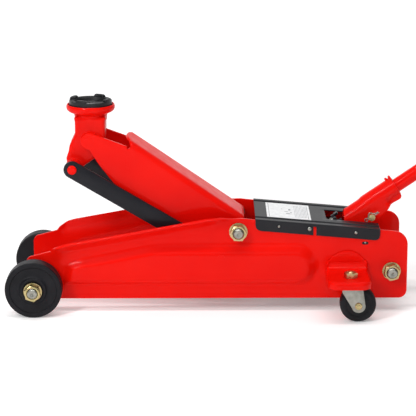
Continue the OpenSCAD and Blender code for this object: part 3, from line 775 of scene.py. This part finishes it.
def lug(section, start, ring):
    """One lug swept round the rim, its ends drawn down to round them off."""
    verts, steps = [], 14
    for i in range(steps + 1):
        angle = math.radians(start + LUG_WIDTH * i / steps)
        end = min(i, steps - i) / steps
        drop = (1 - min(end / 0.14, 1)) ** 2 * 2.0
        for radius, height in section:
            lowered = height - drop if height > ring else height
            verts.append((CUP.x + radius * math.cos(angle), radius * math.sin(angle), lowered))
    count = len(section)
    faces = grid_faces(steps + 1, count, wrap=True)
    faces += [tuple(range(count)), tuple(reversed(range(steps * count, (steps + 1) * count)))]
    return verts, faces


# ---- cover

COVER_FRONT, COVER_REAR, COVER_SLOPE = 324.4, 506.8, -0.0864
OPENING_X, OPENING_Y, SLIT = 430.0, 27.0, (409.0, 413.5)
COVER_BEND, COVER_FLANGE = 1.5, 17


def cover_top(x):
    return 139.5 + (x - 316) * COVER_SLOPE + 1.6


def cover_path():
    """Across the cover from one flange's lower edge to the other: (y, drop below the top)."""
    bend = [(y, COVER_BEND + drop) for y, drop in arc(61.2, 0, COVER_BEND, -90, 0, 6)]
    top = (0, 9, 18, OPENING_Y, 34, 41, 43, 44.2, 45.6, 47, 50, 51.4, 52.8, 54, 56, 59, 60.4)
    half = [(y, emboss(y)) for y in top]
    half += bend + [(62.7, d) for d in (4, 7, 10, 13, 15, 16.3, COVER_FLANGE)]
    return [(-y, d) for y, d in reversed(half[1:])] + half


def emboss(y):
    """Pressed steps along both edges of the cover's top."""
    outer, inner = smooth((abs(y) - 51) / 2.4), smooth((abs(y) - 43.5) / 2.8)
    return 1.5 * inner - 1.5 * outer


def cover():
    path = cover_path()
    stations = [COVER_FRONT + d for d in (0, 1, 2.5, 5, 8)]
    stations += [340, 355, 370, 385, 400, SLIT[0], SLIT[1], 422, OPENING_X, 445, 460, 475, 490]
    stations += [COVER_REAR - d for d in (8, 5, 2.5, 1, 0)]
    verts = []
    for x in stations:
        depth = COVER_FLANGE - corner_cut(x - COVER_FRONT, 8) - corner_cut(COVER_REAR - x, 8)
        for y, drop in path:
            if drop > COVER_BEND:
                drop = between(COVER_BEND, depth, (drop - COVER_BEND) / (COVER_FLANGE - COVER_BEND))
            verts.append((x, y, cover_top(x) - drop))
    faces = []
    for face in grid_faces(len(stations), len(path), flip=True):
        spot = sum((Vector(verts[i]) for i in face), Vector()) / 4
        opening = spot.x > OPENING_X and abs(spot.y) < OPENING_Y
        slit = SLIT[0] < spot.x < SLIT[1] and cover_top(spot.x) - spot.z > 3
        if not opening and not slit:
            faces.append(face)
    add_piece("pressed_cover", verts, faces, "black_sheet", "chassis", ["cover_plate"], sharp=55,
              thickness=1.5, bevel=0.3)


def cover_label():
    """A thin film label with a bar at each end and a few plain marks that spell nothing."""
    lift = 0.35
    x0, x1, half = 342.0, 407.0, 42.0

    def patch(a, b, c, d, height):
        corners = [(a, c), (b, c), (b, d), (a, d)]
        low = [(x, y, cover_top(x) + 0.02) for x, y in corners]
        top = [(x, y, cover_top(x) + height) for x, y in corners]
        sides = [(i, (i + 1) % 4, (i + 1) % 4 + 4, i + 4) for i in range(4)]
        return low + top, [(3, 2, 1, 0), (4, 5, 6, 7)] + sides

    add_piece("film_label", *patch(x0, x1, -half, half, lift), "label_white", "chassis", ["cover_label"])
    marks = [patch(x0 + 3.2, x0 + 4.0, -half + 3, half - 3, lift + 0.05),
             patch(x1 - 4.0, x1 - 3.2, -half + 3, half - 3, lift + 0.05)]
    for k in range(9):
        marks.append(patch(384 + 2.1 * k, 384.5 + 2.1 * k, -34, 34, lift + 0.05))
    blocks = ((369, -6, 5, 3), (375, 4, 3.4, 7), (371, -17, 6, 3.4), (377, -11, 3, 4), (364, 8, 2.4, 2.4))
    for x, y, w, h in blocks:
        marks.append(patch(x, x + w, y, y + h, lift + 0.05))
    add_piece("label_marks", *joined(*marks), "label_white", "chassis", material="label_grey")


def cover_screws():
    parts = []
    for x, size in ((358.7, 1.9), (403.6, 3.0), (471.4, 2.3)):
        for _, sign in SIDES:
            profile = [(0.01, 62.3), (size, 62.3), (size, 63.0), (size * 0.8, 63.8), (size * 0.4, 64.15),
                       (0.01, 64.2)]
            parts.append(lathe(profile, (x, 0, cover_top(x) - 8), (0, sign, 0), 20))
    add_piece("domed_screws", *joined(*parts), "bright_zinc", "chassis", ["cover_screws"], sharp=50)


# ---- handle

SOCKET_LOW = ((-38, -10), (-36.5, -30), (-34.8, -44), (-31, -54), (-23.8, -58), (-16, -54), (-9, -44),
              (1, -33), (9, -23.5), (24, -20.5), (33, -16.8), (44, -17.7), (49, -18.2), (52, -17),
              (53.8, -13.5), (54.6, -9))
SOCKET_R, SOCKET_T = 15.45, 2.8


def pinch(s, t):
    """How far the cheeks are pressed in under the tube at the rear end."""
    return 6.5 * smooth((s - 26) / 12) * smooth((-t - 2) / 9)


def socket_top(s):
    step = 1.4 * (1 - smooth((s + 4) / 6))
    return SOCKET_R - step


def handle_socket():
    rows, crown = 14, 22
    stations = [-38 + 0.9 * i for i in range(12)] + [-27 + 2.5 * i for i in range(30)]
    stations += [48.5, 50.5, 52.5, 54, 54.5]
    verts = []
    for s in stations:
        low, top = along(SOCKET_LOW, s), socket_top(s)
        cut = 10.0 * smooth((-27 - s) / 11)
        ring = []
        for j in range(rows):
            t = between(low, -min(cut, 3), j / (rows - 1))
            ring.append((SOCKET_R - pinch(s, t), t))
        arc_end = 90 - cut * 7.5
        over = [(SOCKET_R * math.cos(math.radians(a)), top * math.sin(math.radians(a)))
                for a in (arc_end * k / crown for k in range(1, crown + 1))]
        verts += [(s, y, t) for y, t in ring + over]
    count = rows + crown
    near = [tuple(handle_point(s, t, -y)) for s, y, t in verts]
    far = [tuple(handle_point(s, t, y)) for s, y, t in verts]
    shape = welded(*joined((near, grid_faces(len(stations), count)),
                           (far, grid_faces(len(stations), count, flip=True))))
    add_piece("pressed_handle_socket", *shape, "red_paint", "handle_socket", ["handle_socket"], sharp=55,
              thickness=SOCKET_T, bevel=0.5)
    collar = lathe([(10.25, 12), (13.4, 12), (13.4, 50), (10.25, 50)], tuple(handle_point(0, 0)),
                   handle_point(1, 0) - handle_point(0, 0), 48, closed=True)
    add_piece("socket_collar", *collar, "red_paint", "handle_socket", sharp=40)


def set_screw():
    """Wing screw that clamps the handle: a low stub with two blunt ears."""
    up = handle_point(0, 1) - handle_point(0, 0)
    base = handle_point(50, 0)
    parts = [lathe([(0.01, 13), (4.4, 13), (4.4, 14.8), (3.7, 15.4), (0.01, 15.4)], base, up, 28)]
    for lean in (-1, 1):
        foot, tip = handle_point(50 + lean * 2.2, 14.5), handle_point(50 + lean * 3.4, 19.2)
        profile = [(0.01, 0), (2.2, 0), (1.9, 3.0), (1.5, 4.4), (0.8, 5.0), (0.01, 5.1)]
        parts.append(lathe(profile, foot, tip - foot, 16))
    add_piece("wing_set_screw", *joined(*parts), "red_paint", "handle_socket",
              ["handle_set_screw"], sharp=40)


def pivot_clip():
    """Spring clip through the pivot pin's end: one straight leg, one humped leg and an eye."""
    y = -28.0
    straight = [handle_point(s, -FOOT_OFFSET, y) for s in (-7, -4, 0, 5, 9, 13)]
    humped = []
    for k in range(25):
        s = -7 + k * 0.8
        bulge = 5.4 * math.exp(-((s - 0.5) / 4.2) ** 2)
        humped.append(handle_point(s, -FOOT_OFFSET + 1.9 + bulge, y - 0.9))
    eye = [handle_point(s, t, y) for s, t in arc(-8.8, -FOOT_OFFSET + 1.1, 2.2, 0, 360, 15)]
    parts = [tube(wire, 0.8) for wire in (straight, humped, eye)]
    add_piece("wire_clip", *joined(*parts), "bright_zinc", "chassis", ["socket_split_pins"], sharp=60)


def grip():
    """Moulded grip: a flange at each end and shallow finger ribs."""
    start, end = 940.0, 1065.0
    profile = [(10.4, start), (12.6, start), (13.4, start + 0.8), (13.4, start + 5), (12.4, start + 6)]
    position = start + 8
    while position < end - 12:
        profile += [(12.3, position), (13.2, position + 0.9), (13.2, position + 2.6), (12.3, position + 3.5)]
        position += 4.6
    profile += [(12.4, end - 7), (13.4, end - 6), (13.4, end - 2.5), (11.5, end), (0.01, end)]
    axis = handle_point(1, 0) - handle_point(0, 0)
    add_piece("ribbed_grip", *lathe(profile, handle_point(0, 0), axis, 48), "grip_rubber", "handle",
              ["handle_grip"], sharp=35)


# ---- casters

CASTER_X, SHELF_Z, SHELF_OUT = 461.0, 65.0, 136.0
SHELF_X0, SHELF_X1 = 428.0, 490.0


def shelf_outline(inset=0.0, corner=17.0):
    """Plan of the shelf from one plate-side corner round the front to the other: (x, y)."""
    x0, x1, out = SHELF_X0 + inset, SHELF_X1 - inset, SHELF_OUT - inset
    r = corner - inset
    return ([(x0, 61 + 6.5 * i) for i in range(9)] + arc(x0 + r, out - r, r, 180, 90, 8)
            + [(between(x0 + r, x1 - r, i / 6), out) for i in range(1, 6)]
            + arc(x1 - r, out - r, r, 90, 0, 8) + [(x1, 61 + 6.5 * i) for i in range(8, -1, -1)])


def caster_bracket_mesh():
    bend = 5.0
    rows = [(bend * (1 - math.sin(math.radians(a))), SHELF_Z - bend * (1 - math.cos(math.radians(a))))
            for a in range(0, 91, 15)]
    rows += [(0, 58), (0, 56), (0, 54)]
    verts, columns = [], 0
    for inset, z in rows:
        outline = shelf_outline(inset)
        columns = len(outline)
        verts += [(x, y, z) for x, y in outline]
    faces = grid_faces(len(rows), columns)
    faces.append(tuple(reversed(range(columns))))
    return verts, faces


def hood_mesh():
    """The arched sheet on the side plate, which sweeps out into the shelf."""
    radius, sweep, centre_x, foot = 30.5, 11.0, 459, 30.4
    verts, rows = [], 20
    stations = [between(-foot, foot, i / 36) for i in range(37)]
    for dx in stations:
        top = max(62 + math.sqrt(max(radius ** 2 - dx ** 2, 0)), SHELF_Z + 0.5)
        height = top - SHELF_Z
        reach = min(sweep, height)
        side = 1 - smooth((abs(dx) - 20) / 10.5)
        path = [(63.0 + 0.8 * side, top)]
        for k in range(8):
            path.append((64.0 + 0.2 * side, between(top - 0.8, SHELF_Z + reach, k / 7)))
        for a in range(0, 91, 9):
            turn = math.radians(a)
            path.append((64.0 + reach * (1 - math.cos(turn)), SHELF_Z + reach * (1 - math.sin(turn)) + 0.15))
        verts += [(centre_x + dx, y, z) for y, z in path[:rows]]
    return verts, grid_faces(len(stations), rows, flip=True)


def caster_brackets():
    bracket, hood = caster_bracket_mesh(), hood_mesh()
    for side, sign in SIDES:
        add_piece(f"pressed_caster_shelf_{side}", *on_side(bracket, sign), "red_paint", "chassis",
                  [f"caster_bracket_{side}"], sharp=50, thickness=2.6, bevel=0.4)
        add_piece(f"caster_hood_{side}", *on_side(hood, sign), "red_paint", "chassis", sharp=60,
                  thickness=2.4, bevel=0.5)


def caster_parts():
    axle_x, axle_z = CASTER_X + 11, 26.4
    wheel = both_ends([(4.1, 13.4), (8.6, 13.4), (9.4, 11), (16.8, 10.2), (17.6, 11), (21.2, 11),
                       (24.8, 9.6), (26.2, 6.6), (26.4, 2)])
    rivet = both_ends([(0.01, 18.9), (2.2, 18.9), (2.6, 18.3), (4.4, 18.5), (5.4, 17.6), (5.5, 16.9),
                       (4, 16.9)])
    x0, x1, low, high = CASTER_X - 13, CASTER_X + 16, 54.8, 57.4
    cheek = ([(x0, high), (CASTER_X - 12.6, 47)] + arc(axle_x, axle_z, 10, 197, 378, 16)
             + [(CASTER_X + 18.4, 44), (x1, high)])
    crown = rounded_profile([(5.2, 54.6), (18, 54.6), (18, 57.6), (15, 57.6), (13.4, 58.4), (5.2, 58.4)],
                            [0, 1, 1.2, 1, 1, 0])
    for side, sign in SIDES:
        y = sign * CASTER_Y
        centre, fork = (axle_x, y, axle_z), f"caster_fork_{side}"
        add_piece(f"caster_tyre_{side}", *lathe(wheel, centre, (0, 1, 0), 56, closed=True), "black_nylon",
                  f"caster_wheel_{side}", [f"caster_wheel_{side}"], sharp=50)
        sheets = [prism(cheek, y + offset, y + offset + 2.6) for offset in (-16.8, 14.1)]
        sheets.append(prism([(x0, low), (x0, high), (x1, high), (x1, low)], y - 15.5, y + 15.5))
        sheets.append(lathe(crown, (CASTER_X, y, 0), (0, 0, 1), 48, closed=True))
        add_piece(f"pressed_{fork}", *joined(*sheets), "bright_zinc", fork, [fork], sharp=35, bevel=0.5)
        add_piece(f"rolled_rivet_{side}", *lathe(rivet, centre, (0, 1, 0), 36), "yellow_zinc", fork,
                  [f"caster_rivet_{side}"], sharp=40)


def swivel_bolts():
    parts = []
    for _, sign in SIDES:
        seat = (CASTER_X, sign * CASTER_Y, SHELF_Z)
        parts.append(hex_nut(17, 5, 8, seat, (0, 0, 1), turn=0.35))
        parts.append(threaded_end(5, -6.6, 9.1, seat, (0, 0, 1), pitch=1.5))
    add_piece("swivel_nuts", *joined(*parts), "yellow_zinc", "chassis", ["caster_swivel_bolts"], sharp=25)


def locating_pins():
    """Ends of the pins that locate the hydraulic unit, each on a thin black slot that paints the shade of a
    hole in a side plate.
    """
    hole_shades, pins = [], []
    x, z = 485.3, 103.5
    slot = stadium((x - 2.6, z), (x + 2.6, z), 2.2)
    for _, sign in SIDES:
        hole_shades.append(on_side(prism(slot, PLATE_Y - 0.1, PLATE_Y + 0.06), sign))
        pins.append(lathe([(0.01, -0.1), (1.3, -0.1), (1.3, 0.3), (0.8, 0.7), (0.01, 0.8)],
                          (x, sign * PLATE_Y, z + 0.6), (0, sign, 0), 20))
    # The thin black slots are painted shade for the dark insides of holes; the plates under them are closed.
    add_piece("pin_hole_painted_shade", *joined(*hole_shades), "black_paint", "chassis")
    add_piece("pin_ends", *joined(*pins), "bright_zinc", "chassis", sharp=50)


# ---- springs

def return_springs():
    for side, _ in SIDES:
        low, high = (local(corner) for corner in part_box(f"return_spring_{side}"))
        centre, radius, wire = (low + high) / 2, (high.z - low.z) / 2 - 0.75, 0.72
        turns, points = 22, []
        for k in range(turns * 16 + 1):
            t = k / (turns * 16)
            angle = 2 * math.pi * k / 16
            x = between(low.x + wire, high.x - wire, t)
            points.append((x, centre.y + radius * math.cos(angle), centre.z + radius * math.sin(angle)))
        piece = add_piece(f"coil_spring_{side}", *tube(points, wire, 8), "bright_zinc", None,
                          [f"return_spring_{side}"], sharp=60)
        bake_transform(piece)


# ---- carried-over CAD pieces

def dress_cad_nodes():
    for row in frame["record"]["subparts"]:
        node = frame["nodes"][row["node"]]
        material = MATERIALS[row["material_slot"]]
        if not node.material_slots:
            node.data.materials.append(material)
        for entry in node.material_slots:
            entry.material = material


# ---- stage

def stage():
    """A pale floor that glows more away from the origin, so that it fades into the backdrop."""
    floor_mesh = bpy.data.meshes.new("floor")
    floor_mesh.from_pydata([(-30, -12, 0), (30, -12, 0), (30, 40, 0), (-30, 40, 0)], [], [(0, 1, 2, 3)])
    floor = bpy.data.objects.new("floor", floor_mesh)
    bpy.context.scene.collection.objects.link(floor)
    mat, tree, bsdf = shader("pale_floor", (0.9, 0.9, 0.9), 0.7, specular=0.1)
    vary_color(tree, bsdf, 3, [(0.3, (0.89, 0.89, 0.89)), (0.7, (0.91, 0.91, 0.91))])
    bsdf.inputs["Emission Color"].default_value = (1, 1, 1, 1)
    coords = tree.nodes.new("ShaderNodeTexCoord")
    far = add(tree, "ShaderNodeVectorMath", operation="DISTANCE")
    tree.links.new(coords.outputs["Object"], far.inputs[0])
    map_range(tree, far.outputs["Value"], bsdf.inputs["Emission Strength"], (0.5, 3.0), (0.22, 0.75))
    floor.data.materials.append(mat)
    studio_light()


def studio_light():
    """A sky with a bright band at the horizon, dim above it and brighter overhead and behind, a narrow box
    at the left and a strip on top for the highlights, and a soft light in front."""
    world = bpy.data.worlds.new("studio")
    bpy.context.scene.world = world
    world.use_nodes = True
    tree = world.node_tree
    coords = tree.nodes.new("ShaderNodeTexCoord")
    split = tree.nodes.new("ShaderNodeSeparateXYZ")
    tree.links.new(coords.outputs["Generated"], split.inputs["Vector"])
    sky = ((0.0, 1), (0.07, 1), (0.12, 0.08), (0.35, 0.16), (0.8, 0.5))
    overhead = ramp(tree, split.outputs["Z"], [(height, (grey,) * 3) for height, grey in sky])
    behind = ramp(tree, split.outputs["Y"], [(0.35, (0, 0, 0)), (0.85, (1, 1, 1))])
    total = add(tree, "ShaderNodeMixRGB", blend_type="ADD", Fac=1.0)
    tree.links.new(overhead.outputs["Color"], total.inputs["Color1"])
    tree.links.new(behind.outputs["Color"], total.inputs["Color2"])
    tree.links.new(total.outputs["Color"], tree.nodes["Background"].inputs["Color"])
    tree.nodes["Background"].inputs["Strength"].default_value = 0.85
    lights = (("softbox_left", (-1.15, -1.5, 1.45), (0.15, 0, 0.15), (0.2, 1.0), 24),
              ("strip_top", (0.0, -0.5, 2.2), (0, 0, 0.1), (2.4, 0.16), 22),
              ("soft_front", (0.5, -2.6, 1.5), (0, 0, 0.1), (1.6, 1.2), 4.5))
    jack_middle = Vector((AXLE_X + 0.28, 0, 0))
    for name, position, target, size, power in lights:
        data = bpy.data.lights.new(name, "AREA")
        data.shape = "RECTANGLE"
        data.size, data.size_y = size
        data.energy = power
        light = bpy.data.objects.new(name, data)
        bpy.context.scene.collection.objects.link(light)
        light.location = Vector(position) + jack_middle
        aim = Vector(target) + jack_middle - light.location
        light.rotation_euler = aim.to_track_quat("-Z", "Y").to_euler()
    bpy.context.scene.view_settings.view_transform = "Standard"


def camera():
    data = bpy.data.cameras.new("camera")
    data.sensor_width, data.lens = 36.0, 154.2
    data.clip_end = 100
    down, roll, spot = 14.64, -0.14, (255.1, -2573.3, 813.5)
    view = bpy.data.objects.new("camera", data)
    bpy.context.scene.collection.objects.link(view)
    turn = Matrix.Rotation(math.radians(90 - down), 4, "X") @ Matrix.Rotation(math.radians(roll), 4, "Z")
    view.matrix_world = Matrix.Translation(place(*spot)) @ turn
    bpy.context.scene.camera = view


for build in (camera, stage, dress_cad_nodes, side_plates, lift_arm, link_bars, link_pin_heads,
              saddle_bracket, saddle, front_wheels, shaft_hardware, cover, cover_label, cover_screws,
              handle_socket, set_screw, pivot_clip, grip, caster_brackets, caster_parts, swivel_bolts,
              locating_pins, return_springs):
    build()
